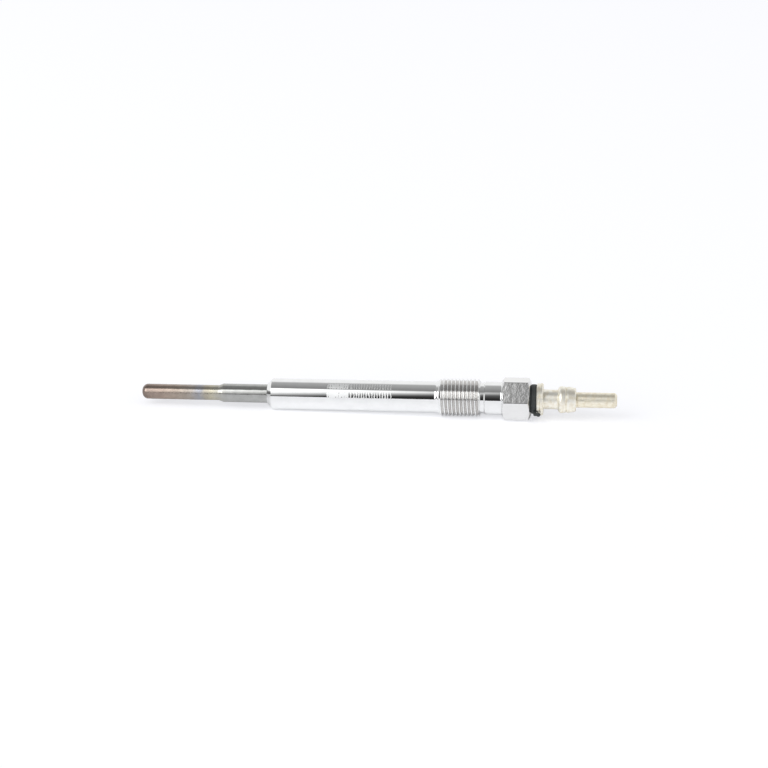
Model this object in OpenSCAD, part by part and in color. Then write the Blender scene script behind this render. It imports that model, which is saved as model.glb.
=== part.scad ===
// Diesel glow plug with a sheathed heater, a plated steel housing and a push-on terminal.
// Each piece is drawn on one axis, nose first, and then laid down the way the plug comes to rest.
// Sizes are in millimetres.

/* [Heater sheath] */
// Diameter of the slim front of the sheath
sheath_tip_d = 4.0; // [3.8:0.1:4.4]
// Diameter of the sheath behind its step
sheath_d = 4.9; // [4.7:0.1:5.2]
// Length of the slim front, from the nose to the step
sheath_tip_len = 20.7; // [18:0.1:23]
// Length of the step between the two diameters
sheath_step_len = 1.2; // [0.6:0.1:2]
// Length of sheath in front of the housing
sheath_out = 33.9; // [30:0.1:37]
// Length of sheath pressed into the housing
sheath_press = 14; // [10:0.5:18]
// Length of sheath behind the press fit
sheath_tail = 4; // [3.5:0.5:6]
// Wall of the sheath
sheath_wall = 0.55; // [0.45:0.05:0.6]
// Rounding of the closed nose
nose_round = 1.5; // [0.9:0.1:1.6]
// Thickness of the closed nose
nose_wall = 1.0; // [0.8:0.1:1.2]
// Length of the weld pip inside the nose
pip_len = 1.2; // [0.8:0.1:1.6]

/* [Coils] */
// Diameter of the coil wire
wire_d = 0.36; // [0.3:0.02:0.4]
// Inside diameter of both coils
coil_in_d = 1.6; // [1.4:0.1:1.7]
// Turns of the heating coil
heating_turns = 8; // [6:1:10]
// Rise of the heating coil in one turn
heating_pitch = 1.1; // [0.8:0.05:1.3]
// Turns of the control coil
control_turns = 16; // [12:1:18]
// Rise of the control coil in one turn
control_pitch = 1.1; // [0.8:0.05:1.3]

/* [Centre rod] */
// Length of the spigot inside the control coil
spigot_len = 3; // [2:0.5:5]
// Diameter of the rod inside the sheath
rod_neck_d = 2.6; // [2.3:0.1:2.9]
// Diameter of the rod inside the housing
rod_d = 3.2; // [3.0:0.1:3.6]
// Diameter of the rod under the insulator and the nut
rod_seat_d = 4.4; // [4.4:0.1:4.6]
// Diameter of the terminal pin
pin_d = 4.0; // [3.8:0.1:4.1]
// Length of the terminal pin behind the nut
pin_len = 10.6; // [8:0.1:13]
// Chamfer at the end of the terminal pin
pin_chamfer = 0.6; // [0.3:0.1:0.9]

/* [Sheath seal] */
// Length of the seal inside the sheath
seal_len = 2.5; // [1.5:0.1:3.2]
// Thickness of the seal's rim behind the sheath
seal_rim_len = 0.8; // [0.5:0.1:1.2]

/* [Housing] */
// Diameter of the plain body
body_d = 8.2; // [7.8:0.1:8.6]
// Length from the front face to the thread's lead-in
body_len = 44.6; // [40:0.1:50]
// Full angle of the conical seat
seat_angle = 93; // [60:1:120]
// Diameter of the front face inside the seat
seat_in_d = 5.5; // [5.4:0.1:6.4]
// Diameter over the thread's crests
thread_d = 9.9; // [9.7:0.05:10]
// Length of the thread's conical lead-in
thread_lead_len = 1.5; // [0.8:0.1:2.5]
// Fillet between the body and the thread's lead-in
lead_fillet = 1.2; // [0.4:0.1:2]
// Length of full thread
thread_len = 9.7; // [8:0.1:12]
// Length of the thread's conical run-out
run_out_len = 0.4; // [0.3:0.1:1]
// Diameter of the relief groove behind the thread
relief_d = 8.0; // [7.8:0.1:8.4]
// Length of the relief groove
relief_len = 0.9; // [0.4:0.1:1.2]
// Length of the shoulder between the relief groove and the shank
shoulder_len = 0.35; // [0.2:0.05:0.6]
// Diameter of the shank between thread and hexagon
shank_d = 8.6; // [8.6:0.1:8.8]
// Length of the shank
shank_len = 4.4; // [3:0.1:6]
// Fillet between the shank and the hexagon
shank_fillet = 0.35; // [0.2:0.05:0.55]
// Bore behind the press fit
bore_d = 5.7; // [5.4:0.1:6]
// Diameter of the counterbore in the hexagon
counterbore_d = 6.6; // [6.4:0.1:6.8]
// Depth of the counterbore
counterbore_len = 5; // [4:0.1:6]

/* [Hexagon] */
// Width across the flats
hex_af = 10; // [10:0.1:11]
// Length of the hexagon
hex_len = 7.4; // [6.5:0.1:9]
// Diameter of the front face inside its chamfer
hex_front_d = 9.4; // [9.1:0.05:9.9]
// Diameter of the rear face inside its chamfer
hex_rear_d = 8.9; // [8.4:0.1:9.8]
// Angle of both chamfers
hex_chamfer_angle = 28; // [15:1:40]
// How far the plug has rolled from lying with a flat down
hex_turn = 5.5; // [0:0.1:5.5]

/* [Insulator] */
// Diameter of the insulator's washer
washer_d = 7.7; // [7.2:0.1:8.2]
// Thickness of the insulator's washer
washer_len = 1.5; // [1:0.1:2.2]
// Radius of the moulding nub on the washer's rim
nub_r = 0.55; // [0.45:0.05:0.6]
// Radius of the stem that carries the nub
nub_stem_r = 0.38; // [0.3:0.02:0.4]
// How far the nub stands behind the washer
nub_reach = 0.55; // [0.3:0.05:0.8]
// Place of the nub round the rim, measured from the lowest point
nub_turn = 51; // [0:1:90]

/* [Terminal nut] */
// Diameter of the nut's flange
flange_d = 8.4; // [7.8:0.1:8.6]
// Length of the flange
flange_len = 1.7; // [1.4:0.1:2.2]
// Diameter of the neck behind the flange
neck_d = 5.1; // [4.9:0.1:5.6]
// Length of the neck
neck_len = 3.7; // [3:0.1:4.5]
// Diameter of the locking bead
bead_d = 7.1; // [6.8:0.1:7.5]
// Length of the locking bead
bead_len = 2.2; // [2:0.1:2.8]
// Diameter at the start of the lead-in cone behind the bead
cone_d = 6.8; // [6.6:0.1:6.8]
// Diameter at the end of the lead-in cone
cone_end_d = 6.2; // [5.6:0.1:6.4]
// Length of the lead-in cone
cone_len = 2.5; // [2:0.1:3.2]
// Depth of the turned grooves in the flange and behind the bead
groove_depth = 0.22; // [0.1:0.02:0.3]

/* [Fits] */
// Gap on each side of the insulator's sleeve and of the sealing ring
slip = 0.02; // [0.01:0.01:0.05]
// Gap between a coil and what lies inside and outside it
coil_fit = 0.05; // [0.03:0.01:0.1]

/* [Hidden] */
$fn = 96;

sheath_tip_r = sheath_tip_d / 2;
sheath_r = sheath_d / 2;
sheath_step_end = sheath_tip_len + sheath_step_len;
sheath_len = sheath_out + sheath_press + sheath_tail;

// Radii of the housing and places along the axis, counted from the nose
body_r = body_d / 2;
thread_r = thread_d / 2;
relief_r = relief_d / 2;
shank_r = shank_d / 2;
seat_in_r = seat_in_d / 2;
seat_end = sheath_out + (body_r - seat_in_r) / tan(seat_angle / 2);
body_end = sheath_out + body_len;
thread_start = body_end + thread_lead_len;
lead_slope = atan((thread_r - body_r) / thread_lead_len);
lead_tangent = lead_fillet * tan(lead_slope / 2);
// The fillet's circle cuts this far past the two lines it joins, so that it crosses them cleanly
clean_cut = 0.002;
thread_end = thread_start + thread_len;
relief_start = thread_end + run_out_len;
relief_end = relief_start + relief_len;
shank_start = relief_end + shoulder_len;
hex_front = shank_start + shank_len;
hex_rear = hex_front + hex_len;
press_end = sheath_out + sheath_press;
bore_r = bore_d / 2;
counterbore_r = counterbore_d / 2;
counterbore_start = hex_rear - counterbore_len;

// The disc the hexagon is milled from stands a little over its corners
hex_stock_r = hex_af / 2 / cos(30) + 0.1;
hex_front_r = hex_front_d / 2;
hex_rear_r = hex_rear_d / 2;
hex_chamfer_rise = tan(hex_chamfer_angle);
fillet_r = min(shank_fillet, hex_front_r - shank_r);

// Places of the terminal
washer_end = hex_rear + washer_len;
flange_end = washer_end + flange_len;
neck_end = flange_end + neck_len;
bead_end = neck_end + bead_len;
nut_end = bead_end + cone_len;
overall_len = nut_end + pin_len;
pin_r = pin_d / 2;
rod_seat_r = rod_seat_d / 2;
flange_r = flange_d / 2;
neck_r = neck_d / 2;
bead_r = bead_d / 2;
cone_r = cone_d / 2;
cone_end_r = cone_end_d / 2;
edge_break = 0.25;
ring_r = (counterbore_r - rod_seat_r) / 2 - slip;
ring_place = counterbore_start + ring_r + slip;
sleeve_start = ring_place + ring_r + slip;
rod_seat_start = counterbore_start - 3;

// Wire of the coils
wire_r = wire_d / 2;
wire_sides = 8;
coil_steps = 12;
coil_r = coil_in_d / 2 + wire_r;
heating_start = nose_wall + coil_fit + wire_r;
heating_end = heating_start + heating_turns * heating_pitch;
control_end = heating_end + control_turns * control_pitch;
spigot_r = coil_in_d / 2 - coil_fit;
coil_room_r = coil_in_d / 2 + wire_d + coil_fit;
spigot_start = control_end - spigot_len;
rod_neck_start = control_end + wire_r + coil_fit;
rod_neck_end = sheath_len + seal_rim_len + 0.5;
rod_neck_r = rod_neck_d / 2;
rod_r = rod_d / 2;

// The plug lies on the front edge of its body and the first full crest of its thread
nose_down = atan((thread_r - body_r) / (thread_start - seat_end));
axis_lift = thread_r * cos(nose_down) - (thread_start - overall_len / 2) * sin(nose_down);

// Turns the drawing axis along X, nose first, and sets the plug down on the floor with the drawing's X on top
module lying_down() {
    translate([0, 0, axis_lift])
        rotate([0, 90 - nose_down, 0])
            rotate([0, 0, 180])
                translate([0, 0, -overall_len / 2])
                    children();
}

// Half section of the housing as it is turned, before its flats are milled
module housing_section() {
    difference() {
        union() {
            polygon([
                [0, sheath_out],
                [seat_in_r, sheath_out],
                [body_r, seat_end],
                [body_r, body_end],
                [thread_r, thread_start],
                [thread_r, thread_end],
                [relief_r, relief_start],
                [relief_r, relief_end],
                [shank_r, shank_start],
                [shank_r, hex_front],
                [hex_front_r, hex_front],
                [hex_stock_r, hex_front + (hex_stock_r - hex_front_r) * hex_chamfer_rise],
                [hex_stock_r, hex_rear - (hex_stock_r - hex_rear_r) * hex_chamfer_rise],
                [hex_rear_r, hex_rear],
                [0, hex_rear]
            ]);
            difference() {
                polygon([
                    [bore_r + 0.2, body_end - lead_tangent],
                    [body_r, body_end - lead_tangent],
                    [body_r + lead_tangent * sin(lead_slope), body_end + lead_tangent * cos(lead_slope)],
                    [bore_r + 0.2, body_end + lead_tangent * cos(lead_slope)]
                ]);
                translate([body_r + lead_fillet, body_end - lead_tangent])
                    circle(r = lead_fillet + clean_cut);
            }
            difference() {
                translate([shank_r, hex_front - fillet_r])
                    square(fillet_r);
                translate([shank_r + fillet_r, hex_front - fillet_r])
                    circle(r = fillet_r);
            }
        }
        polygon([
            [-1, sheath_out - 1],
            [sheath_r, sheath_out - 1],
            [sheath_r, press_end],
            [bore_r, press_end + (bore_r - sheath_r)],
            [bore_r, counterbore_start],
            [counterbore_r, counterbore_start],
            [counterbore_r, hex_rear + 1],
            [-1, hex_rear + 1]
        ]);
    }
}

// Steel housing: conical seat, plain body, thread, shank and hexagon in one piece
module housing() {
    color("#cfd2d4")
        lying_down()
            difference() {
                rotate_extrude()
                    housing_section();
                for (turn = [0 : 60 : 300])
                    rotate([0, 0, turn - hex_turn])
                        translate([hex_af / 2, -hex_af, hex_front - 0.2])
                            cube([hex_af, 2 * hex_af, hex_len + 0.4]);
            }
}

// Half section of the room inside the sheath, open at the rear
module sheath_room(rear) {
    polygon([
        [0, nose_wall],
        [sheath_tip_r - sheath_wall, nose_wall],
        [sheath_tip_r - sheath_wall, sheath_tip_len],
        [sheath_r - sheath_wall, sheath_step_end],
        [sheath_r - sheath_wall, rear],
        [0, rear]
    ]);
}

// Half section of the weld pip that stands in the first turns of the heating coil
module pip_section() {
    translate([0, nose_wall - 0.2])
        square([spigot_r, pip_len + 0.2]);
}

// Closed heater tube with a rounded nose, a swaged step and a weld pip inside
module sheath() {
    color("#a89a8c")
        lying_down()
            rotate_extrude() {
                difference() {
                    union() {
                        square([sheath_tip_r - nose_round, nose_round]);
                        translate([sheath_tip_r - nose_round, nose_round])
                            intersection() {
                                circle(r = nose_round);
                                translate([0, -nose_round])
                                    square(nose_round);
                            }
                        polygon([
                            [0, nose_round],
                            [sheath_tip_r, nose_round],
                            [sheath_tip_r, sheath_tip_len],
                            [sheath_r, sheath_step_end],
                            [sheath_r, sheath_len],
                            [0, sheath_len]
                        ]);
                    }
                    sheath_room(sheath_len + 1);
                }
                pip_section();
            }
}

// Points round the wire where the coil has turned through an angle and risen to a height
function wire_ring(angle, height) = [
    for (k = [0 : wire_sides - 1])
        let (
            side = 360 * (k + 0.5) / wire_sides,
            reach = coil_r + wire_r * cos(side)
        )
        [reach * cos(angle), reach * sin(angle), height + wire_r * sin(side)]
];

// Two triangles of the wire's skin, from one corner of a ring to the next ring
function wire_patch(step, k) =
    let (
        next = (k + 1) % wire_sides,
        here = step * wire_sides,
        there = here + wire_sides
    )
    [[here + k, there + k, there + next], [here + k, there + next, here + next]];

// Coil of round wire swept along its helix, with flat ends that abut the next coil
module wire_coil(start, pitch, turns) {
    steps = turns * coil_steps;
    rings = [
        for (step = [0 : steps])
            wire_ring(360 * step / coil_steps, start + pitch * step / coil_steps)
    ];
    skin = [
        for (step = [0 : steps - 1])
            for (k = [0 : wire_sides - 1])
                each wire_patch(step, k)
    ];
    first_end = [for (k = [0 : wire_sides - 1]) k];
    last_end = [for (k = [wire_sides - 1 : -1 : 0]) steps * wire_sides + k];
    polyhedron(points = [for (ring = rings) each ring], faces = concat([first_end], skin, [last_end]));
}

// Heating coil, wound on the weld pip at the nose
module heating_coil() {
    color("#8f8a80")
        lying_down()
            wire_coil(heating_start, heating_pitch, heating_turns);
}

// Control coil, from the heating coil to the spigot of the centre rod
module control_coil() {
    color("#a3a097")
        lying_down()
            wire_coil(heating_end, control_pitch, control_turns);
}

// Half section of the centre rod: spigot, neck, rod, seat of the nut and terminal pin
module rod_section() {
    polygon([
        [0, spigot_start],
        [spigot_r, spigot_start],
        [spigot_r, rod_neck_start],
        [rod_neck_r, rod_neck_start],
        [rod_neck_r, rod_neck_end],
        [rod_r, rod_neck_end + (rod_r - rod_neck_r)],
        [rod_r, rod_seat_start],
        [rod_seat_r, rod_seat_start + (rod_seat_r - rod_r)],
        [rod_seat_r, nut_end],
        [pin_r, nut_end],
        [pin_r, overall_len - pin_chamfer],
        [pin_r - pin_chamfer, overall_len],
        [0, overall_len]
    ]);
}

// Centre rod that carries the current, one piece from the control coil to the terminal pin
module centre_rod() {
    color("#d8ccb0")
        lying_down()
            rotate_extrude()
                rod_section();
}

// Packed insulating powder between the coils and the sheath
module powder_sleeve() {
    color("#e8e6e0")
        lying_down()
            rotate_extrude()
                difference() {
                    sheath_room(sheath_len - seal_len);
                    square([coil_room_r, rod_neck_start]);
                    translate([0, rod_neck_start])
                        square([rod_neck_r, sheath_len - rod_neck_start]);
                }
}

// Packed insulating powder inside the coils, from the weld pip to the rod's spigot
module powder_core() {
    color("#efede6")
        lying_down()
            translate([0, 0, nose_wall + pip_len])
                cylinder(r = spigot_r, h = spigot_start - nose_wall - pip_len);
}

// Rubber seal that closes the rear of the sheath round the rod
module sheath_seal() {
    color("#7d4a3c")
        lying_down()
            rotate_extrude()
                polygon([
                    [rod_neck_r, sheath_len - seal_len],
                    [sheath_r - sheath_wall, sheath_len - seal_len],
                    [sheath_r - sheath_wall, sheath_len],
                    [sheath_r - 0.15, sheath_len],
                    [sheath_r - 0.15, sheath_len + seal_rim_len],
                    [rod_neck_r, sheath_len + seal_rim_len]
                ]);
}

// Sealing ring at the bottom of the counterbore
module sealing_ring() {
    color("#2b2b2b")
        lying_down()
            translate([0, 0, ring_place])
                rotate_extrude()
                    translate([(counterbore_r + rod_seat_r) / 2, 0])
                        circle(r = ring_r);
}

// Insulator: a washer under the nut, a sleeve in the counterbore and the bent nub left by moulding
module insulator() {
    nub_place = flange_r + nub_r + slip;
    stem_root = washer_d / 2 - 0.5;
    stem_station = washer_end - nub_stem_r - slip;
    color("#343635")
        lying_down() {
            rotate_extrude()
                polygon([
                    [rod_seat_r + slip, sleeve_start],
                    [counterbore_r - slip, sleeve_start],
                    [counterbore_r - slip, hex_rear],
                    [washer_d / 2 - edge_break, hex_rear],
                    [washer_d / 2, hex_rear + edge_break],
                    [washer_d / 2, washer_end - edge_break],
                    [washer_d / 2 - edge_break, washer_end],
                    [rod_seat_r + slip, washer_end]
                ]);
            rotate([0, 0, 180 - nub_turn]) {
                translate([stem_root, 0, stem_station])
                    rotate([0, 90, 0])
                        cylinder(r = nub_stem_r, h = nub_place - stem_root);
                translate([nub_place, 0, stem_station]) {
                    sphere(r = nub_stem_r);
                    cylinder(r = nub_stem_r, h = washer_end + nub_reach - stem_station);
                }
                translate([nub_place, 0, washer_end + nub_reach])
                    sphere(r = nub_r);
            }
        }
}

// Half section of a turned groove with its centre at a radius and a place along the axis
module groove_section(radius, place) {
    polygon([
        [radius - groove_depth, place],
        [radius + groove_depth, place - 2 * groove_depth],
        [radius + groove_depth, place + 2 * groove_depth]
    ]);
}

// Terminal nut: grooved flange, neck, locking bead and lead-in cone
module terminal_nut() {
    color("#ded3b8")
        lying_down()
            rotate_extrude()
                difference() {
                    union() {
                        polygon([
                            [0, washer_end],
                            [flange_r - edge_break, washer_end],
                            [flange_r, washer_end + edge_break],
                            [flange_r, flange_end - edge_break],
                            [flange_r - edge_break, flange_end],
                            [neck_r, flange_end],
                            [neck_r, neck_end + bead_len / 2],
                            [0, neck_end + bead_len / 2]
                        ]);
                        translate([bead_r - bead_len / 2, neck_end + bead_len / 2])
                            circle(r = bead_len / 2);
                        polygon([
                            [0, neck_end + bead_len / 2],
                            [bead_r - 0.12, neck_end + bead_len / 2],
                            [cone_r, bead_end],
                            [cone_r, bead_end + 0.3 * cone_len],
                            [cone_end_r, nut_end - edge_break],
                            [cone_end_r - edge_break, nut_end],
                            [0, nut_end]
                        ]);
                    }
                    square([rod_seat_r, overall_len]);
                    groove_section(flange_r, washer_end + 0.45 * flange_len);
                    groove_section(cone_r, bead_end);
                }
}

housing();
sheath();
heating_coil();
control_coil();
powder_sleeve();
powder_core();
sheath_seal();
centre_rod();
sealing_ring();
insulator();
terminal_nut();
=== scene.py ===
"""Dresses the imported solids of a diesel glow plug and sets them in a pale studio.

The pieces are modelled in millimetres round the plug's own axis, nose at zero, and then laid down
into the shared frame in metres. A place along that axis is called a station.
"""

import logging
import math
from dataclasses import dataclass, field
from enum import Enum
from typing import Any, Callable, Sequence

import bmesh
import bpy
from bpy.types import Light, Material, Node, NodeSocket, World
from mathutils import Matrix, Quaternion, Vector


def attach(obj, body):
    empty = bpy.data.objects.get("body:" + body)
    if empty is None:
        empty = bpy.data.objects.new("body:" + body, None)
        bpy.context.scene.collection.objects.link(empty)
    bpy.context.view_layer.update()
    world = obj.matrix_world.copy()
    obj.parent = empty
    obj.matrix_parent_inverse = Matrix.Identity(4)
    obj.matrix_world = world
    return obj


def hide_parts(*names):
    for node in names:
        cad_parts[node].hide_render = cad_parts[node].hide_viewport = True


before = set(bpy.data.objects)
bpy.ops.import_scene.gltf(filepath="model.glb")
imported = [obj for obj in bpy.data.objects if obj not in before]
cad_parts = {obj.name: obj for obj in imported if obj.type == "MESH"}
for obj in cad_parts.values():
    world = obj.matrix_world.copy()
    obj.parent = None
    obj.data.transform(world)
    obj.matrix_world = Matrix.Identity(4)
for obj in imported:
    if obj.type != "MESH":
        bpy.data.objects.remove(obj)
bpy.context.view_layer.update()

LOG = logging.getLogger("glow_plug")
BODY = "root"
METRES_PER_MM = 0.001
MERGE_MM = 0.0002
HOLD_MM = 0.03
SHARP_EDGE_DEG = 32.0
# Most of a noise lies between these two values
NOISE_LOW = 0.3
NOISE_HIGH = 0.7
NOISE_ROUGH = 0.6
# A wave texture of scale one runs through this many radians in a unit
WAVE_RADIANS = 20.0
# Settings of a wave whose bands follow each other along the plug
ALONG_PLUG = {"wave_type": "BANDS", "bands_direction": "X"}

Colour = tuple[float, float, float, float]
Stop = tuple[float, Colour]
Measure = tuple[float, float]
Inputs = dict[str | int, Any]


class Slot(Enum):
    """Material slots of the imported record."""

    HOUSING = "plated_steel"
    SHEATH = "heater_alloy"
    ROD = "rod_steel"
    INSULATOR = "insulator_plastic"
    NUT = "terminal_brass"


@dataclass(frozen=True)
class Stations:
    """Driving sizes along the plug that more than one piece shares, in millimetres from the nose."""

    sheath_out: float = 33.9
    body_end: float = 78.5
    thread_start: float = 80.0
    thread_end: float = 89.7
    hex_front: float = 95.75
    hex_rear: float = 103.15
    washer_end: float = 104.65
    nut_end: float = 114.75
    overall: float = 125.35
    seat_end: float = 35.181
    body_r: float = 4.1
    thread_r: float = 4.95
    rod_seat_r: float = 2.2

    @property
    def nose_down(self) -> float:
        """Slope of the axis in radians: the plug rests on its seat edge and on its thread."""
        return math.atan((self.thread_r - self.body_r) / (self.thread_start - self.seat_end))

    @property
    def lift(self) -> float:
        """Height of the middle of the axis over the floor."""
        reach = (self.thread_start - self.overall / 2) * math.sin(self.nose_down)
        return self.thread_r * math.cos(self.nose_down) - reach

    def laid_down(self) -> Matrix:
        """Lays the plug on the floor.

        Returns:
            Matrix from the plug's own axis, in millimetres, to the shared frame, in metres.
        """
        centred = Matrix.Translation((0, 0, -self.overall / 2))
        tipped = Matrix.Rotation(math.radians(90) - self.nose_down, 4, "Y")
        turned = tipped @ Matrix.Rotation(math.pi, 4, "Z")
        placed = Matrix.Translation((0, 0, self.lift)) @ turned @ centred
        return Matrix.Scale(METRES_PER_MM, 4) @ placed


PLUG = Stations()


def linear(hex_text: str) -> Colour:
    """Turns an sRGB hex value into a linear colour.

    Args:
        hex_text: Six hex digits after a hash sign.

    Returns:
        Red, green, blue and an alpha of one.
    """
    shares = [int(hex_text[i : i + 2], 16) / 255 for i in (1, 3, 5)]
    red, green, blue = (s / 12.92 if s <= 0.04045 else ((s + 0.055) / 1.055) ** 2.4 for s in shares)
    return red, green, blue, 1.0


def grey(value: float) -> Colour:
    """Gives a grey whose linear value is the number itself, for ramps that carry a measure."""
    return value, value, value, 1.0


def greys(measures: Sequence[Measure]) -> list[Stop]:
    """Gives the stops of a ramp that carries a measure."""
    return [(place, grey(value)) for place, value in measures]


def at(station: float) -> float:
    """Gives a station as a share of the whole length, for a ramp."""
    return station / PLUG.overall


def spread(noise: Node, low: float, high: float) -> Inputs:
    """Gives the inputs of a map range that spreads a noise from a low to a high value."""
    return {"Value": noise, "From Min": NOISE_LOW, "From Max": NOISE_HIGH, "To Min": low, "To Max": high}


class Graph:
    """The nodes of a material, a lamp or the world."""

    def __init__(self, owner: Material | Light | World) -> None:
        """Starts with no nodes.

        Args:
            owner: What the nodes belong to.
        """
        owner.use_nodes = True
        self.tree = owner.node_tree
        self.tree.nodes.clear()

    def add(
        self, kind: str, inputs: Inputs | None = None, stops: Sequence[Stop] = (), **settings: Any
    ) -> Node:
        """Adds a node with its settings, its ramp stops, its constant inputs and its links.

        Args:
            kind: The node's type name after its prefix.
            inputs: Constants, sockets, or nodes whose first output is linked, by input name or number.
            stops: Places and colours of a ramp, in rising order.
            **settings: Properties of the node.

        Returns:
            The new node.
        """
        node = self.tree.nodes.new("ShaderNode" + kind)
        for name, value in settings.items():
            setattr(node, name, value)
        if stops:
            elements = node.color_ramp.elements
            elements[0].position, elements[0].color = stops[0]
            elements[-1].position, elements[-1].color = stops[-1]
            for place, colour in stops[1:-1]:
                elements.new(place).color = colour
        for key, value in (inputs or {}).items():
            source = value.outputs[0] if isinstance(value, Node) else value
            if isinstance(source, NodeSocket):
                self.tree.links.new(source, node.inputs[key])
            else:
                node.inputs[key].default_value = source
        return node


class PlugGraph(Graph):
    """The nodes of a finish, with a point's place on the plug, in millimetres.

    Attributes:
        place: The place in the plug's own axes.
        radius: The distance from the long axis.
        share: The station as a share of the whole length.
        angle: Degrees round the axis, from the near side over the top.
    """

    def __init__(self, owner: Material) -> None:
        """Reads Object coordinates and turns them to the plug's own axes.

        Args:
            owner: The finish's material.
        """
        super().__init__(owner)
        slope = PLUG.nose_down
        origin = (PLUG.overall / 2 - PLUG.lift * math.sin(slope), 0, -PLUG.lift * math.cos(slope))
        self.place = self.add(
            "Mapping",
            {
                "Vector": self.add("TexCoord").outputs["Object"],
                "Location": origin,
                "Rotation": (0, slope, 0),
                "Scale": (1 / METRES_PER_MM,) * 3,
            },
        )
        split = self.add("SeparateXYZ", {"Vector": self.place}).outputs
        self.share = self.add("Math", {0: split["X"], 1: PLUG.overall}, operation="DIVIDE")
        near = self.add("Math", {0: split["Y"], 1: -1.0}, operation="MULTIPLY")
        turn = self.add("Math", {0: split["Z"], 1: near}, operation="ARCTAN2")
        self.angle = self.add("Math", {0: turn}, operation="DEGREES")
        across = self.add("CombineXYZ", {"Y": split["Y"], "Z": split["Z"]})
        self.radius = self.add("VectorMath", {0: across}, operation="LENGTH").outputs["Value"]

    def grains(self, size_mm: float, detail: float) -> Inputs:
        """Gives the inputs of a noise whose grains have a real size."""
        return {"Vector": self.place, "Scale": 1 / size_mm, "Detail": detail, "Roughness": NOISE_ROUGH}

    def bands(self, gap_mm: float, distortion: float) -> Inputs:
        """Gives the inputs of a wave whose bands lie a real distance apart."""
        scale = math.tau / gap_mm / WAVE_RADIANS
        return {"Vector": self.place, "Scale": scale, "Distortion": distortion, "Detail": 2.0}


@dataclass(frozen=True)
class Finish:
    """A material of the plug, named for what the real surface is."""

    name: str

    def material(self) -> Material:
        """Builds the material, or finds the one that was built before.

        Returns:
            The material.
        """
        made = bpy.data.materials.get(self.name)
        if made is None:
            made = bpy.data.materials.new(self.name)
            graph = PlugGraph(made)
            surface = graph.add("BsdfPrincipled", self.shade(graph))
            graph.add("OutputMaterial", {"Surface": surface})
        return made

    def shade(self, graph: PlugGraph) -> Inputs:
        """Adds the nodes of the surface and gives the inputs of its shader."""
        raise NotImplementedError


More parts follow.
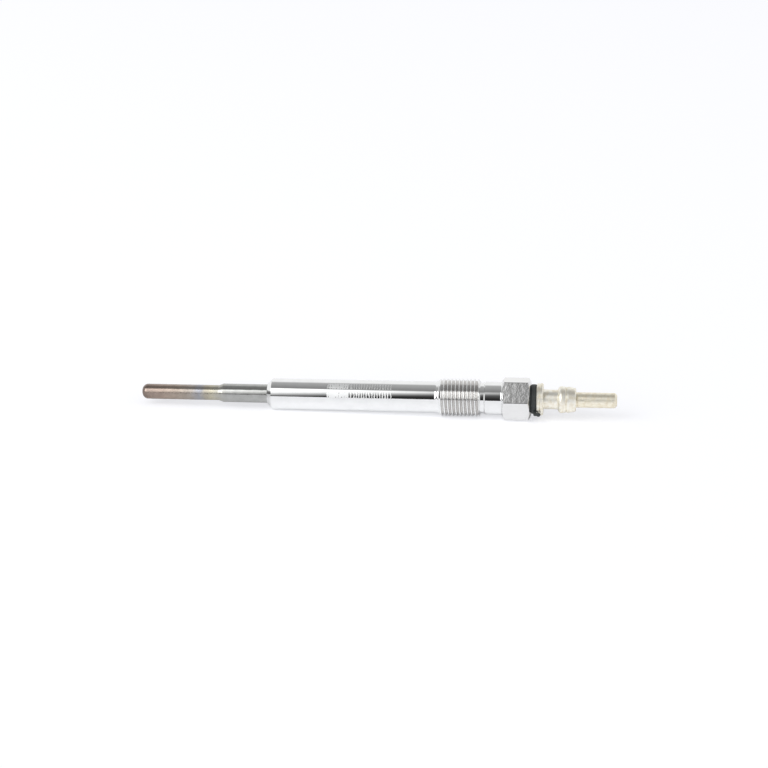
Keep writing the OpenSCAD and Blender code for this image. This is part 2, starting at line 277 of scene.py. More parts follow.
@dataclass(frozen=True)
class BrightNickel(Finish):
    """Bright nickel plating on turned steel: a clear mirror, frosted where it was marked and milled."""

    name: str = "bright_nickel_plating"
    metal: str = "#F2F3F3"
    stained: str = "#EEEFEF"
    # Colour of the painted shade in the thread's roots, and of the hexagon's darker tone
    root: str = "#CBC9C7"
    root_r: float = 4.5
    crest_r: float = 4.93
    stain_mm: float = 2.4
    grain_mm: float = 1.0
    dent_mm: float = 0.03
    body_rough: float = 0.03
    body_dents: float = 0.01
    thread_rough: float = 0.1
    thread_blend: float = 0.4
    hex_rough: float = 0.06
    hex_dents: float = 0.9
    # How far the whole hexagon's colour goes to that darker tone
    hex_darkening: float = 0.3
    edge_blend: float = 0.2
    mark_from: float = 50.0
    mark_solid_to: float = 55.6
    mark_to: float = 67.4
    mark_blend: float = 0.1
    mark_tick_mm: float = 0.7
    mark_tick_share: float = 0.7
    tick_weight: float = 0.5
    mark_rough: float = 0.5
    # Sum of the row, the ticks and the grain where frost starts, and where it is full
    frost_from: float = 1.42
    frost_full: float = 1.52
    # Frost on the rows of the mark, by share of a quarter turn up the near side
    mark_rows: tuple[Measure, ...] = (
        (0.06, 0.0),
        (0.08, 1.0),
        (0.33, 1.0),
        (0.35, 0.3),
        (0.46, 0.3),
        (0.48, 1.0),
        (0.7, 1.0),
        (0.72, 0.0),
    )

    def shade(self, graph: PlugGraph) -> Inputs:
        """Adds the plating, duller with painted shade in the thread's roots, darker on the dented
        hexagon, frosted at the mark.

        Args:
            graph: The material's nodes.

        Returns:
            Inputs of the surface's shader.
        """
        stain = graph.add("TexNoise", graph.grains(self.stain_mm, detail=4.0))
        grain = graph.add("TexNoise", graph.grains(self.grain_mm, detail=2.0))
        thread, hexagon = self.zones(graph)
        plating = [(0.35, linear(self.stained)), (0.6, linear(self.metal))]
        plated_tone = graph.add("ValToRGB", {"Fac": stain}, plating)
        # Painted shade: the colour darkens from the crests into the thread's roots; the hexagon is darker
        # all over
        depth = {"Value": graph.radius, "From Min": self.crest_r, "From Max": self.root_r}
        deep = graph.add("MapRange", depth)
        painted_root_shade = graph.add("Math", {0: deep, 1: thread}, operation="MULTIPLY")
        root_shade_and_hex_darkening = graph.add("Math", {0: hexagon, 1: self.hex_darkening, 2: painted_root_shade}, operation="MULTIPLY_ADD")
        colour = graph.add("Mix", {"Factor": root_shade_and_hex_darkening, 6: plated_tone, 7: linear(self.root)}, data_type="RGBA")
        frost = self.mark(graph, grain)
        rough: Node | float = self.body_rough
        for zone, more in (
            (thread, self.thread_rough),
            (hexagon, self.hex_rough),
            (frost, self.mark_rough),
        ):
            rough = graph.add("Math", {0: zone, 1: more, 2: rough}, operation="MULTIPLY_ADD")
        dents = graph.add(
            "Math", {0: hexagon, 1: self.hex_dents, 2: self.body_dents}, operation="MULTIPLY_ADD"
        )
        bump = graph.add(
            "Bump", {"Height": grain, "Strength": dents, "Distance": self.dent_mm * METRES_PER_MM}
        )
        return {"Base Color": colour.outputs[2], "Metallic": 1.0, "Roughness": rough, "Normal": bump}

    def zones(self, graph: PlugGraph) -> tuple[NodeSocket, NodeSocket]:
        """Tells the thread and the hexagon from the rest.

        Args:
            graph: The material's nodes.

        Returns:
            A number that is 1 on the thread, and one that is 1 on the hexagon.
        """
        plain, red, green = grey(0.0), (1.0, 0.0, 0.0, 1.0), (0.0, 1.0, 0.0, 1.0)
        stops = [
            (at(PLUG.thread_start - self.thread_blend), plain),
            (at(PLUG.thread_start + self.thread_blend), red),
            (at(PLUG.thread_end), red),
            (at(PLUG.thread_end + self.edge_blend), plain),
            (at(PLUG.hex_front - self.edge_blend), plain),
            (at(PLUG.hex_front), green),
        ]
        ramp = graph.add("ValToRGB", {"Fac": graph.share}, stops)
        split = graph.add("SeparateColor", {"Color": ramp}).outputs
        return split["Red"], split["Green"]

    def mark(self, graph: PlugGraph, grain: Node) -> Node:
        """Frosts a plain patch and two rows of broken ticks on the body's near side, which say nothing.

        Args:
            graph: The material's nodes.
            grain: Noise that breaks up the ticks.

        Returns:
            A number from 0, clear, to 1, frosted.
        """
        stretch = (
            (at(self.mark_from - self.mark_blend), 0.0),
            (at(self.mark_from), 1.0),
            (at(self.mark_solid_to), 1.0),
            (at(self.mark_solid_to + self.mark_blend), self.mark_tick_share),
            (at(self.mark_to), self.mark_tick_share),
            (at(self.mark_to + self.mark_blend), 0.0),
        )
        along = graph.add("ValToRGB", {"Fac": graph.share}, greys(stretch))
        turn = graph.add("MapRange", {"Value": graph.angle, "From Min": 0.0, "From Max": 90.0})
        rows = graph.add("ValToRGB", {"Fac": turn}, greys(self.mark_rows))
        ticks = graph.add("TexWave", graph.bands(self.mark_tick_mm, distortion=4.0), **ALONG_PLUG)
        broken = graph.add(
            "Math", {0: ticks.outputs["Fac"], 1: self.tick_weight, 2: grain}, operation="MULTIPLY_ADD"
        )
        band = graph.add("Math", {0: along, 1: rows}, operation="MULTIPLY")
        both = graph.add("Math", {0: band, 1: broken}, operation="ADD")
        cut = {"Value": both, "From Min": self.frost_from, "From Max": self.frost_full}
        raised = graph.add("MapRange", cut)
        return graph.add("Math", {0: band, 1: raised}, operation="MULTIPLY")


@dataclass(frozen=True)
class HeatTintedAlloy(Finish):
    """Nickel alloy tube that has glowed: brown at the nose, a blue ring, straw, then grey metal."""

    name: str = "heat_tinted_nickel_alloy"
    blotch_mm: float = 1.6
    drift_mm: float = 0.5
    grain_mm: float = 0.35
    streak_share: float = 0.16
    # Brightness under soot and clear of it, and the noise from which it is clear
    sooty: float = 0.86
    bare: float = 1.06
    bare_from: float = 0.75
    drawn_mm: float = 0.012
    scaled_rough: float = 0.25
    drawn_rough: float = 0.16
    grain_rough: float = 0.3
    step_from: float = 20.7
    step_to: float = 21.9
    # Colour of the oxide by station
    tints: tuple[tuple[float, str], ...] = (
        (0.0, "#83766E"),
        (2.0, "#9A8B82"),
        (5.0, "#A4948A"),
        (10.0, "#A89C91"),
        (13.6, "#A7A099"),
        (15.6, "#A0A2AA"),
        (17.2, "#B0AA9D"),
        (18.8, "#BDB8A6"),
        (21.0, "#B5B4AD"),
        (23.0, "#B2B3B1"),
    )

    def shade(self, graph: PlugGraph) -> Inputs:
        """Adds the oxide colours along the tube, blotched, and drawn metal that is satin where it glowed.

        Args:
            graph: The material's nodes.

        Returns:
            Inputs of the surface's shader.
        """
        blotch = graph.add("TexNoise", graph.grains(self.blotch_mm, detail=4.0))
        stretch = {0: graph.place, 1: (self.streak_share, 1.0, 1.0)}
        streak = graph.add("VectorMath", stretch, operation="MULTIPLY")
        grain = graph.add("TexNoise", graph.grains(self.grain_mm, detail=3.0) | {"Vector": streak})
        drift = graph.add("MapRange", spread(blotch, at(-self.drift_mm), at(self.drift_mm)))
        reach = graph.add("Math", {0: graph.share, 1: drift}, operation="ADD")
        stops = [(at(station), linear(colour)) for station, colour in self.tints]
        tint = graph.add("ValToRGB", {"Fac": reach}, stops)
        soot = graph.add("MapRange", spread(blotch, self.sooty, self.bare) | {"From Max": self.bare_from})
        dulled = graph.add("VectorMath", {0: tint, "Scale": soot}, operation="SCALE")
        satin = graph.add(
            "MapRange",
            {
                "Value": graph.share,
                "From Min": at(self.step_from),
                "From Max": at(self.step_to),
                "To Min": self.scaled_rough - self.grain_rough / 2,
                "To Max": self.drawn_rough - self.grain_rough / 2,
            },
        )
        rough = graph.add("Math", {0: grain, 1: self.grain_rough, 2: satin}, operation="MULTIPLY_ADD")
        drawn = graph.add(
            "Bump", {"Height": grain, "Strength": 0.6, "Distance": self.drawn_mm * METRES_PER_MM}
        )
        return {"Base Color": dulled, "Metallic": 1.0, "Roughness": rough, "Normal": drawn}


@dataclass(frozen=True)
class PaleGoldPlate(Finish):
    """Thin pale gold plating on a turned piece: a soft sheen, with fine rings from the tool."""

    name: str = "pale_gold_plated_brass"
    metal: str = "#FAF8EF"
    worn: str = "#ECE5D4"
    stain_mm: float = 1.1
    # The tool's feed is nearer 0.05 mm, and is drawn coarser so that it shows
    turning_mm: float = 0.2
    ring_mm: float = 0.01
    worn_rough: float = 0.46
    bright_rough: float = 0.35

    def shade(self, graph: PlugGraph) -> Inputs:
        """Adds the plating, stained in patches, with turned rings.

        Args:
            graph: The material's nodes.

        Returns:
            Inputs of the surface's shader.
        """
        stain = graph.add("TexNoise", graph.grains(self.stain_mm, detail=4.0))
        plating = [(0.35, linear(self.worn)), (0.58, linear(self.metal))]
        colour = graph.add("ValToRGB", {"Fac": stain}, plating)
        rough = graph.add("MapRange", spread(stain, self.worn_rough, self.bright_rough))
        turning = graph.add("TexWave", graph.bands(self.turning_mm, distortion=0.5), **ALONG_PLUG)
        height = turning.outputs["Fac"]
        depth = self.ring_mm * METRES_PER_MM
        rings = graph.add("Bump", {"Height": height, "Strength": 0.25, "Distance": depth})
        return {"Base Color": colour, "Metallic": 1.0, "Roughness": rough, "Normal": rings}


@dataclass(frozen=True)
class Dull(Finish):
    """A plain non-metal or drawn wire: two close colours in a fine grain, and a slight bump."""

    light: str = "#808080"
    dark: str = "#707070"
    grain_mm: float = 0.3
    rough: float = 0.6
    rough_range: float = 0.07
    metallic: float = 0.0
    depth_mm: float = 0.02

    def shade(self, graph: PlugGraph) -> Inputs:
        """Adds the grain to the colour, the roughness and the bump.

        Args:
            graph: The material's nodes.

        Returns:
            Inputs of the surface's shader.
        """
        grain = graph.add("TexNoise", graph.grains(self.grain_mm, detail=3.0))
        tones = [(0.35, linear(self.dark)), (0.65, linear(self.light))]
        colour = graph.add("ValToRGB", {"Fac": grain}, tones)
        sheen = spread(grain, self.rough - self.rough_range, self.rough + self.rough_range)
        rough = graph.add("MapRange", sheen)
        bump = graph.add(
            "Bump", {"Height": grain, "Strength": 0.6, "Distance": self.depth_mm * METRES_PER_MM}
        )
        return {"Base Color": colour, "Metallic": self.metallic, "Roughness": rough, "Normal": bump}


# Glass-filled moulding compound: matt black, a little dusty
MOULDED_PLASTIC = Dull("glass_filled_nylon", "#303433", "#222625", grain_mm=0.25, rough=0.55)
# Drawn resistance wire: grey metal with a satin skin
RESISTANCE_WIRE = Dull("resistance_wire", "#A8A59C", "#8F8C84", rough=0.32, metallic=1.0, depth_mm=0.005)
# Packed magnesia: chalky white
MAGNESIA = Dull("packed_magnesia", "#EDEBE5", "#DDDAD2", grain_mm=0.2, rough=0.85)
# Silicone seal: brick red and matt
RED_SILICONE = Dull("red_silicone_rubber", "#8A4C3C", "#7A4234", rough=0.62)
# Nitrile ring: black with a faint bloom
BLACK_NITRILE = Dull("black_nitrile_rubber", "#2E2E2E", "#242424", rough=0.55)


class Outline:
    """Half section of a turned piece: radius and station of each corner, in millimetres."""

    def __init__(self, radius: float, station: float) -> None:
        """Starts the outline at a point."""
        self.points: list[tuple[float, float]] = [(radius, station)]

    def to(self, radius: float, station: float) -> "Outline":
        """Runs straight on to a point."""
        self.points.append((radius, station))
        return self

    def along(self, radius: float, station: float) -> "Outline":
        """Runs straight on to a point, with a ring close to each end that keeps the shading flat.

        Args:
            radius: Radius of the point.
            station: Station of the point.

        Returns:
            The outline itself.
        """
        first_r, first_s = self.points[-1]
        hold = HOLD_MM / math.hypot(radius - first_r, station - first_s)
        for share in (hold, 1 - hold):
            self.to(first_r + (radius - first_r) * share, first_s + (station - first_s) * share)
        return self.to(radius, station)

    def arc(
        self, radius: float, station: float, size: float, start: float, end: float, steps: int
    ) -> None:
        """Runs on round an arc.

        Args:
            radius: Radius of the arc's centre.
            station: Station of the arc's centre.
            size: Radius of the arc itself.
            start: First angle in degrees, from outwards towards the rear.
            end: Last angle in degrees.
            steps: Number of chords.
        """
        for step in range(steps + 1):
            turn = math.radians(start + (end - start) * step / steps)
            self.to(radius + size * math.cos(turn), station + size * math.sin(turn))

    def groove(self, radius: float, station: float, depth: float) -> None:
        """Runs through a turned V groove with its bottom at a station and sides at 45 degrees."""
        self.to(radius, station - depth).to(radius - depth, station).to(radius, station + depth)


class Mesh:
    """A mesh in the making, in millimetres round the plug's own axis."""

    def __init__(self) -> None:
        """Starts empty."""
        self.bm = bmesh.new()

    def turn(self, outline: Outline, segments: int, closed: bool = False, rise: float = 0.0) -> "Mesh":
        """Spins an outline once round the axis.

        Args:
            outline: The half section.
            segments: Number of flats round the axis.
            closed: True where the outline's ends join.
            rise: How far the outline climbs along the axis in the turn.

        Returns:
            The mesh itself.
        """
        corners = [self.bm.verts.new((r, 0, s)) for r, s in outline.points]
        pairs = list(zip(corners, corners[1:]))
        if closed:
            pairs.append((corners[-1], corners[0]))
        edges = [self.bm.edges.new(pair) for pair in pairs]
        bmesh.ops.spin(
            self.bm,
            geom=corners + edges,
            cent=(0, 0, 0),
            axis=(0, 0, 1),
            dvec=(0, 0, rise / segments),
            angle=math.tau,
            steps=segments,
            use_merge=rise == 0.0,
        )
        return self

    def bend(self, rule: Callable[[float, float, float], tuple[float, float]]) -> None:
        """Moves each corner to a new radius and station.

        Args:
            rule: Gives radius and station from radius, station and angle in radians.
        """
        for corner in self.bm.verts:
            angle = math.atan2(corner.co.y, corner.co.x)
            radius, station = rule(math.hypot(corner.co.x, corner.co.y), corner.co.z, angle)
            corner.co = (radius * math.cos(angle), radius * math.sin(angle), station)

    def roll(self, degrees: float) -> None:
        """Turns the whole mesh round the plug's axis."""
        turn = Matrix.Rotation(math.radians(degrees), 3, "Z")
        bmesh.ops.rotate(self.bm, cent=(0, 0, 0), matrix=turn, verts=self.bm.verts)

    def close(self) -> "Mesh":
        """Merges seams and poles and points the faces outwards.

        Returns:
            The mesh itself.
        """
        bmesh.ops.remove_doubles(self.bm, verts=self.bm.verts, dist=MERGE_MM)
        bmesh.ops.recalc_face_normals(self.bm, faces=self.bm.faces)
        return self

    def round_edges(
        self, choose: Callable[[bmesh.types.BMEdge], bool], width: float, segments: int
    ) -> None:
        """Rounds the chosen edges.

        Args:
            choose: Says of an edge whether it is rounded.
            width: Width of the rounding.
            segments: Number of flats across it.
        """
        bmesh.ops.bevel(
            self.bm,
            geom=[edge for edge in self.bm.edges if choose(edge)],
            offset=width,
            segments=segments,
            profile=0.5,
            affect="EDGES",
            material=-1,
        )

    def piece(self, name: str, finish: Finish, slot: Slot, *nodes: str) -> None:
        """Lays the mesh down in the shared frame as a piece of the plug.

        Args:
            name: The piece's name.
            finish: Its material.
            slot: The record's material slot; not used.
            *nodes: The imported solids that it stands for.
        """
        sharp = math.radians(SHARP_EDGE_DEG)
        for edge in self.bm.edges:
            edge.smooth = len(edge.link_faces) != 2 or edge.calc_face_angle() < sharp
        for face in self.bm.faces:
            face.smooth = True
        bmesh.ops.transform(self.bm, matrix=PLUG.laid_down(), verts=self.bm.verts)
        data = bpy.data.meshes.new(name)
        self.bm.to_mesh(data)
        self.bm.free()
        data.materials.append(finish.material())
        made = bpy.data.objects.new(name, data)
        bpy.context.scene.collection.objects.link(made)
        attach(made, BODY)
        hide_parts(*nodes)
        LOG.info("%s: %d faces", name, len(data.polygons))


@dataclass
class Housing:
    """Steel housing: conical seat, body, thread, relief groove, shank and hexagon."""

    segments: int = 120
    seat_in_r: float = 2.75
    sheath_r: float = 2.45
    press_end: float = 47.9
    bore_r: float = 2.85
    counterbore_r: float = 3.3
    counterbore_start: float = 98.15
    pitch: float = 1.0
    thread_depth: float = 0.5
    thread_points: int = 16
    # Shares of the pitch: from a crest's middle to the root, and the width of a flank
    root_from: float = 0.44
    flank_width: float = 0.4
    lead_fillet: float = 1.2
    relief_r: float = 4.0
    relief_start: float = 90.1
    relief_end: float = 91.0
    shank_start: float = 91.35
    shank_r: float = 4.3
    shank_fillet: float = 0.35
    fillet_steps: int = 6
    hex_flat_r: float = 5.0
    hex_front_r: float = 4.7
    hex_rear_r: float = 4.45
    hex_chamfer_deg: float = 28.0
    # Any place inside the hexagon's ends, which milling moves to the chamfers
    hex_inset: float = 0.5
    hex_edge: float = 0.1
    hex_edge_flats: int = 3
    hex_long_edge: float = 1.0
    roll_deg: float = -5.5

    @property
    def lead_slope(self) -> float:
        """Angle of the thread's lead-in cone in radians."""
        return math.atan2(PLUG.thread_r - PLUG.body_r, PLUG.thread_start - PLUG.body_end)

    @property
    def lead_start(self) -> float:
        """Station where the body's surface starts to curve up to the lead-in cone."""
        return PLUG.body_end - self.lead_fillet * math.tan(self.lead_slope / 2)

    def build(self) -> None:
        """Builds the housing as one closed mesh."""
        mesh = Mesh()
        mesh.turn(self.thread_outline(), self.segments, rise=self.pitch)
        mesh.bend(self.thread_form)
        mesh.turn(self.outline(), self.segments)
        mesh.bend(self.hexagon_form)
        mesh.close()
        mesh.round_edges(self.is_hexagon_corner, self.hex_edge, self.hex_edge_flats)
        mesh.roll(self.roll_deg)
        mesh.piece("plated_housing", BrightNickel(), Slot.HOUSING, "housing")

    def outline(self) -> Outline:
        """Draws the half section from the front of the thread, round the nose and the bore, to its rear.

        Returns:
            The half section.
        """
        run = Outline(PLUG.body_r, self.lead_start)
        run.along(PLUG.body_r, PLUG.seat_end).along(self.seat_in_r, PLUG.sheath_out)
        run.to(self.sheath_r, PLUG.sheath_out).to(self.sheath_r, self.press_end)
        run.to(self.bore_r, self.press_end + self.bore_r - self.sheath_r)
        run.to(self.bore_r, self.counterbore_start).to(self.counterbore_r, self.counterbore_start)
        run.to(self.counterbore_r, PLUG.hex_rear).to(self.hex_rear_r, PLUG.hex_rear)
        run.to(self.hex_flat_r, PLUG.hex_rear - self.hex_inset)
        run.to(self.hex_flat_r, PLUG.hex_front + self.hex_inset)
        run.to(self.hex_front_r, PLUG.hex_front)
        fillet_r = self.shank_r + self.shank_fillet
        fillet_place = PLUG.hex_front - self.shank_fillet
        run.arc(fillet_r, fillet_place, self.shank_fillet, 90, 180, self.fillet_steps)
        run.along(self.shank_r, self.shank_start).along(self.relief_r, self.relief_end)
        return run.along(self.relief_r, self.relief_start)

    def thread_outline(self) -> Outline:
        """Draws a straight run of points along the thread, a pitch longer than it at the front.

        Returns:
            The run of points.
        """
        start = self.lead_start - self.pitch
        count = math.ceil((self.relief_start - start) / self.pitch) * self.thread_points
        run = Outline(PLUG.thread_r, start)
        for step in range(1, count + 1):
            run.to(PLUG.thread_r, start + step * self.pitch / self.thread_points)
        return run

    def thread_form(self, radius: float, station: float, angle: float) -> tuple[float, float]:
        """Cuts the thread, its lead-in cone with the fillet before it, and its run-out cone.

        Args:
            radius: Radius before the cut.
            station: Station before the cut.
            angle: Angle round the axis in radians.

        Returns:
            Radius and station after the cut.
        """
        turns = (station - PLUG.body_end) / self.pitch - angle / math.tau
        from_crest = abs(turns - round(turns))
        flank = min(max((self.root_from - from_crest) / self.flank_width, 0.0), 1.0)
        eased = flank * flank * (3 - 2 * flank)
        kept = min(max(station, self.lead_start), self.relief_start)
        from_start = kept - self.lead_start
        if from_start < self.lead_fillet * math.sin(self.lead_slope):
            lead = self.lead_fillet - math.sqrt(self.lead_fillet**2 - from_start**2)
        else:
            lead = (kept - PLUG.body_end) * math.tan(self.lead_slope)
        run_out = (self.relief_start - kept) / (self.relief_start - PLUG.thread_end)
        top = self.relief_r + (PLUG.thread_r - self.relief_r) * run_out
        return min(radius - self.thread_depth * (1 - eased), PLUG.body_r + lead, top), kept

    def hexagon_form(self, radius: float, station: float, angle: float) -> tuple[float, float]:
        """Mills the six flats and trims them to the two chamfer cones.

        Args:
            radius: Radius before milling.
            station: Station before milling.
            angle: Angle round the axis in radians.

        Returns:
            Radius and station after milling.
        """
        if abs(radius - self.hex_flat_r) > MERGE_MM or not PLUG.hex_front < station < PLUG.hex_rear:
            return radius, station
        sixth = math.tau / 6
        milled = self.hex_flat_r / math.cos(angle - sixth * round(angle / sixth))
        rise = math.tan(math.radians(self.hex_chamfer_deg))
        if station < (PLUG.hex_front + PLUG.hex_rear) / 2:
            return milled, PLUG.hex_front + (milled - self.hex_front_r) * rise
        return milled, PLUG.hex_rear - (milled - self.hex_rear_r) * rise

    def is_hexagon_corner(self, edge: bmesh.types.BMEdge) -> bool:
        """Looks for the six long edges between the flats.

        Args:
            edge: An edge of the housing.

        Returns:
            True for such an edge.
        """
        ends = [corner.co for corner in edge.verts]
        corner_r = self.hex_flat_r / math.cos(math.tau / 12)
        on_corner = all(abs(math.hypot(end.x, end.y) - corner_r) < MERGE_MM for end in ends)
        return on_corner and abs(ends[0].z - ends[1].z) > self.hex_long_edge


@dataclass
class HeaterTube:
    """Closed heater tube with a rounded nose, a slim front and a swaged step."""

    segments: int = 96
    tip_r: float = 2.0
    tube_r: float = 2.45
    tip_end: float = 20.7
    step_end: float = 21.9
    nose_round: float = 1.5
    nose_steps: int = 12
    nose_wall: float = 1.0
    wall: float = 0.55
    pip_r: float = 0.75
    pip_end: float = 2.2
    tail_end: float = 51.9

    def build(self) -> None:
        """Builds the tube with its inside."""
        run = Outline(0.0, 0.0)
        nose_r = self.tip_r - self.nose_round
        run.arc(nose_r, self.nose_round, self.nose_round, -90, 0, self.nose_steps)
        run.along(self.tip_r, self.tip_end).along(self.tube_r, self.step_end)
        run.along(self.tube_r, self.tail_end)
        run.to(self.tube_r - self.wall, self.tail_end).to(self.tube_r - self.wall, self.step_end)
        run.to(self.tip_r - self.wall, self.tip_end).to(self.tip_r - self.wall, self.nose_wall)
        run.to(self.pip_r, self.nose_wall).to(self.pip_r, self.pip_end).to(0.0, self.pip_end)
        mesh = Mesh().turn(run, self.segments).close()
        mesh.piece("heater_tube", HeatTintedAlloy(), Slot.SHEATH, "sheath")


@dataclass
class Terminal:
    """Terminal nut with its flange, neck and bead, and the rod whose end is the terminal pin."""

    segments: int = 120
    edge: float = 0.25
    groove_depth: float = 0.22
    flange_r: float = 4.2
    flange_end: float = 106.35
    flange_groove: float = 105.415
    neck_r: float = 2.55
    bead_place: float = 111.15
    bead_round: float = 1.1
    bead_steps: int = 14
    bead_centre_r: float = 2.45
    bead_drop: float = 0.12
    bead_shoulder: float = 0.3
    bead_end: float = 112.25
    cone_r: float = 3.4
    cone_start: float = 113.0
    cone_end_r: float = 3.1
    spigot_r: float = 0.75
    spigot_start: float = 24.63
    rod_neck_r: float = 1.3
    rod_neck_start: float = 27.86
    rod_neck_end: float = 53.2
    rod_r: float = 1.6
    seat_start: float = 95.15
    pin_r: float = 2.0
    pin_chamfer: float = 0.6
    pin_rings: int = 3
    pin_ring_gap: float = 0.68
    # Share of that gap before the first ring
    pin_ring_lead: float = 0.6
    pin_ring_depth: float = 0.06

    def build_nut(self) -> None:
        """Builds the terminal nut."""
        rim = self.flange_r - self.edge
        run = Outline(PLUG.rod_seat_r, PLUG.washer_end)
        run.to(rim, PLUG.washer_end).to(self.flange_r, PLUG.washer_end + self.edge)
        run.groove(self.flange_r, self.flange_groove, self.groove_depth)
        run.to(self.flange_r, self.flange_end - self.edge).to(rim, self.flange_end)
        run.to(self.neck_r, self.flange_end)
        run.along(self.neck_r, self.bead_place - self.bead_round - HOLD_MM)
        neck_turn = math.degrees(math.acos((self.neck_r - self.bead_centre_r) / self.bead_round))
        run.arc(self.bead_centre_r, self.bead_place, self.bead_round, -neck_turn, 0, self.bead_steps)
        shoulder_r = self.bead_centre_r + self.bead_round - self.bead_drop
        run.to(shoulder_r, self.bead_place + self.bead_shoulder)
        run.groove(self.cone_r, self.bead_end, self.groove_depth)
        run.along(self.cone_r, self.cone_start).along(self.cone_end_r, PLUG.nut_end - self.edge)
        run.to(self.cone_end_r - self.edge, PLUG.nut_end).to(PLUG.rod_seat_r, PLUG.nut_end)
        mesh = Mesh().turn(run, self.segments, closed=True).close()
        mesh.piece("terminal_nut_turned", PaleGoldPlate(), Slot.NUT, "terminal_nut")

    def build_rod(self) -> None:
        """Builds the centre rod and its terminal pin."""
        run = Outline(0.0, self.spigot_start).to(self.spigot_r, self.spigot_start)
        run.to(self.spigot_r, self.rod_neck_start).to(self.rod_neck_r, self.rod_neck_start)
        run.to(self.rod_neck_r, self.rod_neck_end)
        run.to(self.rod_r, self.rod_neck_end + self.rod_r - self.rod_neck_r)
        run.to(self.rod_r, self.seat_start)
        run.to(PLUG.rod_seat_r, self.seat_start + PLUG.rod_seat_r - self.rod_r)
        run.to(PLUG.rod_seat_r, PLUG.nut_end).to(self.pin_r, PLUG.nut_end)
        for ring in range(self.pin_rings):
            place = PLUG.nut_end + (ring + self.pin_ring_lead) * self.pin_ring_gap
            run.groove(self.pin_r, place, self.pin_ring_depth)
        run.along(self.pin_r, PLUG.overall - self.pin_chamfer)
        run.to(self.pin_r - self.pin_chamfer, PLUG.overall).to(0.0, PLUG.overall)
        mesh = Mesh().turn(run, self.segments).close()
        # On the rod's steel the plating has a little more colour
        plating = PaleGoldPlate("pale_gold_plated_steel", metal="#F7F2E2", worn="#E9E0CA")
        mesh.piece("rod_and_pin", plating, Slot.ROD, "centre_rod")


@dataclass
class Insulator:
    """Black moulded washer and sleeve, with the nub that moulding left on its rim."""

    segments: int = 96
    bore_r: float = 2.22
    sleeve_r: float = 3.28
    sleeve_start: float = 99.25
    washer_r: float = 3.85
    edge: float = 0.25
    nub_r: float = 0.55
    nub_out: float = 4.77
    nub_reach: float = 0.55
    nub_segments: int = 24
    nub_rings: int = 16
    stem_r: float = 0.38
    stem_root: float = 3.35
    stem_station: float = 104.25
    nub_turn_deg: float = 129.0

    def build(self) -> None:
        """Builds the washer, its sleeve and the nub."""
        rim = self.washer_r - self.edge
        run = Outline(self.bore_r, self.sleeve_start).to(self.sleeve_r, self.sleeve_start)
        run.to(self.sleeve_r, PLUG.hex_rear).to(rim, PLUG.hex_rear)
        run.to(self.washer_r, PLUG.hex_rear + self.edge)
        run.to(self.washer_r, PLUG.washer_end - self.edge)
        run.to(rim, PLUG.washer_end).to(self.bore_r, PLUG.washer_end)
        mesh = Mesh().turn(run, self.segments, closed=True).close()
        self.add_nub(mesh)
        mesh.piece("moulded_insulator", MOULDED_PLASTIC, Slot.INSULATOR, "insulator")

    def add_nub(self, mesh: Mesh) -> None:
        """Adds the bent stem and its ball, low on the near side of the rim.

        Args:
            mesh: The washer's mesh.
        """
        turn = Matrix.Rotation(math.radians(self.nub_turn_deg), 4, "Z")
        ball_station = PLUG.washer_end + self.nub_reach
        for radius, station in ((self.stem_r, self.stem_station), (self.nub_r, ball_station)):
            bmesh.ops.create_uvsphere(
                mesh.bm,
                u_segments=self.nub_segments,
                v_segments=self.nub_rings,
                radius=radius,
                matrix=turn @ Matrix.Translation((self.nub_out, 0, station)),
            )
        outwards = Matrix.Rotation(math.radians(90), 4, "Y")
        middle = (self.stem_root + self.nub_out) / 2
        across = Matrix.Translation((middle, 0, self.stem_station)) @ outwards
        behind = Matrix.Translation((self.nub_out, 0, (self.stem_station + ball_station) / 2))
        lengths = (self.nub_out - self.stem_root, ball_station - self.stem_station)
        for place, length in zip((across, behind), lengths):
            bmesh.ops.create_cone(
                mesh.bm,
                cap_ends=True,
                segments=self.nub_segments,
                radius1=self.stem_r,
                radius2=self.stem_r,
                depth=length,
                matrix=turn @ place,
            )


@dataclass
class InnerPieces:
    """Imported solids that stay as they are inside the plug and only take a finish."""

    finishes: dict[str, Finish] = field(
        default_factory=lambda: {
            "heating_coil": RESISTANCE_WIRE,
            "control_coil": RESISTANCE_WIRE,
            "powder_sleeve": MAGNESIA,
            "powder_core": MAGNESIA,
            "sheath_seal": RED_SILICONE,
            "sealing_ring": BLACK_NITRILE,
        }
    )

    def dress(self) -> None:
        """Puts each finish in its solid's material slots."""
        for node, finish in self.finishes.items():
            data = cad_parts[node].data
            data.materials.clear()
            data.materials.append(finish.material())
            LOG.info("%s: %s", node, finish.name)


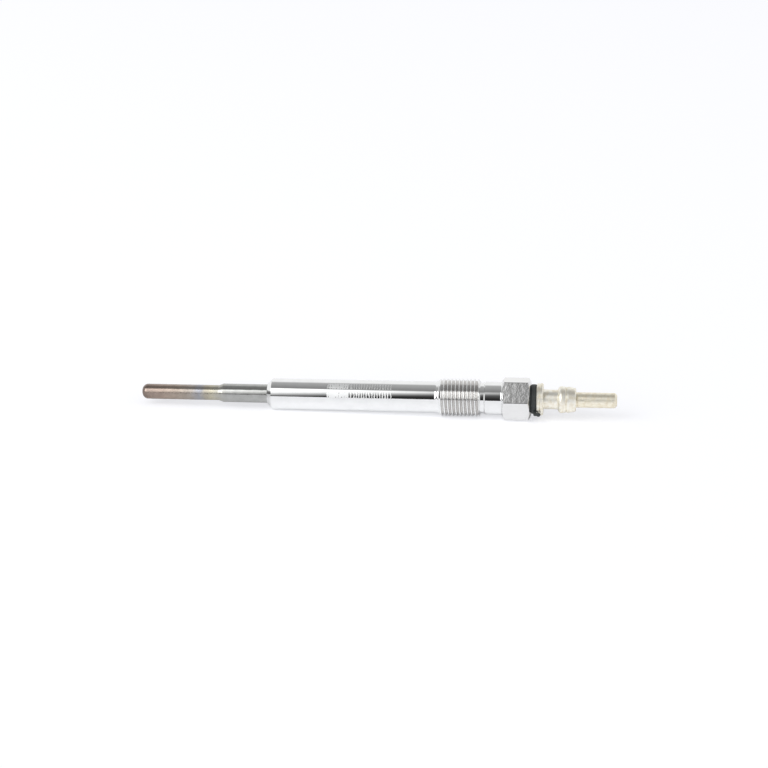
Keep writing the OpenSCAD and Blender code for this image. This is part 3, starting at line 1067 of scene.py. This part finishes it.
@dataclass
class Studio:
    """Paper that glows a little, a wide softbox at the front left, and the room that metal shows."""

    floor_half: float = 4.0
    paper_colour: str = "#FCFCFD"
    glow_colour: str = "#FAFBFF"
    glow_strength: float = 1.13
    glow_share: float = 0.54
    glow_in_metal: float = 0.08
    box_width: float = 6.0
    box_height: float = 4.0
    box_rim: float = 1.0
    box_watts: float = 225.0
    box_along: float = -3.16
    box_distance: float = 3.0
    box_height_deg: float = 38.0
    box_tilt_deg: float = -11.2
    fill_colour: str = "#FDFDFF"
    fill_strength: float = 0.68
    fill_from_front: float = 0.75
    # White card low at the right: how far a ray leans to it, and how high it reaches
    card_from: float = 0.12
    card_full: float = 0.45
    card_top_from: float = 0.3
    card_top_to: float = 0.42
    # Brightness of the room by share of half a turn, from the front over the top
    room: tuple[Measure, ...] = (
        (0.0, 0.02),
        (0.08, 0.03),
        (0.15, 0.08),
        (0.23, 0.13),
        (0.34, 0.24),
        (0.42, 0.3),
        (0.51, 0.38),
        (0.61, 0.43),
        (0.65, 0.65),
        (0.69, 0.97),
        (1.0, 1.0),
    )

    def build(self) -> None:
        """Builds the floor, the softbox and the world."""
        self.lay_floor()
        self.hang_softbox()
        self.paint_world()
        LOG.info("studio: floor, softbox and world")

    def lay_floor(self) -> None:
        """Lays the sheet of paper under the plug."""
        plane = bmesh.new()
        bmesh.ops.create_grid(plane, x_segments=1, y_segments=1, size=self.floor_half)
        data = bpy.data.meshes.new("floor")
        plane.to_mesh(data)
        plane.free()
        data.materials.append(self.paper())
        floor = bpy.data.objects.new("floor", data)
        bpy.context.scene.collection.objects.link(floor)

    def paper(self) -> Material:
        """Builds the paper, whose glow shows to the camera and in metal, and which keeps the shadow.

        Returns:
            The floor's material.
        """
        paper = bpy.data.materials.new("white_paper")
        # Lamps are sampled and the glow is not, so the ray test holds for dull metal too
        paper.cycles.emission_sampling = "NONE"
        graph = Graph(paper)
        matt = graph.add("BsdfDiffuse", {"Color": linear(self.paper_colour)})
        light = {"Color": linear(self.glow_colour), "Strength": self.glow_strength}
        glow = graph.add("Emission", light)
        path = graph.add("LightPath").outputs
        share: Node | float = 0.0
        for kind, part in (
            ("Is Camera Ray", self.glow_share),
            ("Is Glossy Ray", self.glow_in_metal),
            ("Is Transmission Ray", self.glow_share),
        ):
            share = graph.add("Math", {0: path[kind], 1: part, 2: share}, operation="MULTIPLY_ADD")
        seen = graph.add("MixShader", {"Fac": share, 1: matt, 2: glow})
        graph.add("OutputMaterial", {"Surface": seen})
        return paper

    def hang_softbox(self) -> None:
        """Hangs the softbox square to the plug's axis and a little turned."""
        height = math.radians(self.box_height_deg)
        reach = Vector((0, -math.cos(height), math.sin(height))) * self.box_distance
        lamp = bpy.data.lights.new("softbox", "AREA")
        lamp.shape = "RECTANGLE"
        lamp.size, lamp.size_y = self.box_width, self.box_height
        lamp.energy = self.box_watts
        self.dim_rim(lamp)
        softbox = bpy.data.objects.new("softbox", lamp)
        softbox.location = Vector((self.box_along, 0, 0)) + reach
        softbox.rotation_mode = "QUATERNION"
        facing = reach.to_track_quat("Z", "Y")
        softbox.rotation_quaternion = facing @ Quaternion((0, 0, 1), math.radians(self.box_tilt_deg))
        softbox.visible_camera = False
        bpy.context.scene.collection.objects.link(softbox)

    def dim_rim(self, lamp: Light) -> None:
        """Makes the softbox's cloth brightest in the middle, and dimmer towards its rim.

        Args:
            lamp: The softbox's lamp.
        """
        graph = Graph(lamp)
        across = graph.add("NewGeometry").outputs["Parametric"]
        split = graph.add("SeparateXYZ", {"Vector": across}).outputs
        strength: Node | float = 1.0
        for side, size in (("X", self.box_width), ("Y", self.box_height)):
            off_middle = graph.add("Math", {0: split[side], 1: 0.5}, operation="SUBTRACT")
            out = graph.add("Math", {0: off_middle}, operation="ABSOLUTE")
            rim = graph.add(
                "MapRange",
                {"Value": out, "From Min": 0.5, "From Max": 0.5 - self.box_rim / size},
                interpolation_type="SMOOTHSTEP",
            )
            strength = graph.add("Math", {0: rim, 1: strength}, operation="MULTIPLY")
        glow = graph.add("Emission", {"Strength": strength})
        graph.add("OutputLight", {"Surface": glow})

    def room_seen_in_metal(self, graph: Graph, over: Node, right: NodeSocket) -> NodeSocket:
        """Adds what metal shows: dark in front, grey overhead, white behind and low at the right.

        Args:
            graph: The world's nodes.
            over: Angle over the plug as a share of half a turn, from the front over the top.
            right: How far a ray leans to the right.

        Returns:
            The room's colour.
        """
        ramp = graph.add("ValToRGB", {"Fac": over}, greys(self.room))
        card = graph.add(
            "MapRange",
            {"Value": right, "From Min": self.card_from, "From Max": self.card_full},
            interpolation_type="SMOOTHSTEP",
        )
        top = {"Value": over, "From Min": self.card_top_to, "From Max": self.card_top_from}
        low = graph.add("MapRange", top | {"To Max": card})
        both = graph.add("Mix", {"Factor": low, 6: ramp, 7: grey(1.0)}, data_type="RGBA")
        return both.outputs[2]

    def paint_world(self) -> None:
        """Paints the world: white to the camera, a fill mostly from the front, and to metal the room."""
        world = bpy.data.worlds.new("room")
        # Only rays that reach the world read it, so the ray test holds for dull metal too
        world.cycles.sampling_method = "NONE"
        graph = Graph(world)
        look = graph.add("TexCoord").outputs["Generated"]
        split = graph.add("SeparateXYZ", {"Vector": look}).outputs
        front = graph.add("Math", {0: split["Y"], 1: -1.0}, operation="MULTIPLY")
        turn = graph.add("Math", {0: split["Z"], 1: front}, operation="ARCTAN2")
        over = graph.add("Math", {0: turn, 1: math.pi}, operation="DIVIDE")
        shown = graph.add("Background", {"Color": self.room_seen_in_metal(graph, over, split["X"])})
        strength = graph.add(
            "Math", {0: front, 1: self.fill_from_front, 2: self.fill_strength}, operation="MULTIPLY_ADD"
        )
        light = {"Color": linear(self.fill_colour), "Strength": strength}
        fill = graph.add("Background", light)
        white = graph.add("Background", {"Color": grey(1.0)})
        path = graph.add("LightPath").outputs
        glossy = graph.add("MixShader", {"Fac": path["Is Glossy Ray"], 1: fill, 2: shown})
        seen = graph.add("MixShader", {"Fac": path["Is Camera Ray"], 1: glossy, 2: white})
        graph.add("OutputWorld", {"Surface": seen})
        bpy.context.scene.world = world


@dataclass
class PhotoCamera:
    """Camera a little to the right of the plug's middle, looking down on it from the front."""

    azimuth_deg: float = 6.8
    elevation_deg: float = 18.5
    distance: float = 0.5
    lens_mm: float = 89.36
    target_height: float = 0.005
    aim_right: float = 0.001946
    aim_up: float = 0.002733

    def build(self) -> None:
        """Places the camera and makes it the scene's own."""
        azimuth, elevation = math.radians(self.azimuth_deg), math.radians(self.elevation_deg)
        level = math.cos(elevation)
        back = Vector((math.sin(azimuth) * level, -math.cos(azimuth) * level, math.sin(elevation)))
        right = Vector((math.cos(azimuth), math.sin(azimuth), 0))
        up = back.cross(right)
        aim = Vector((0, 0, self.target_height)) + right * self.aim_right + up * self.aim_up
        lens = bpy.data.cameras.new("camera")
        lens.lens = self.lens_mm
        camera = bpy.data.objects.new("camera", lens)
        camera.location = aim + back * self.distance
        camera.rotation_mode = "QUATERNION"
        camera.rotation_quaternion = (-back).to_track_quat("-Z", "Y")
        bpy.context.scene.collection.objects.link(camera)
        bpy.context.scene.camera = camera
        LOG.info("camera: %.0f mm lens", self.lens_mm)


def main() -> None:
    """Builds the plug's pieces, the studio and the camera."""
    logging.basicConfig(level=logging.INFO, format="%(name)s %(message)s")
    bpy.context.scene.view_settings.view_transform = "Standard"
    PhotoCamera().build()
    Housing().build()
    HeaterTube().build()
    terminal = Terminal()
    terminal.build_nut()
    terminal.build_rod()
    Insulator().build()
    InnerPieces().dress()
    Studio().build()


if __name__ == "__main__":
    main()
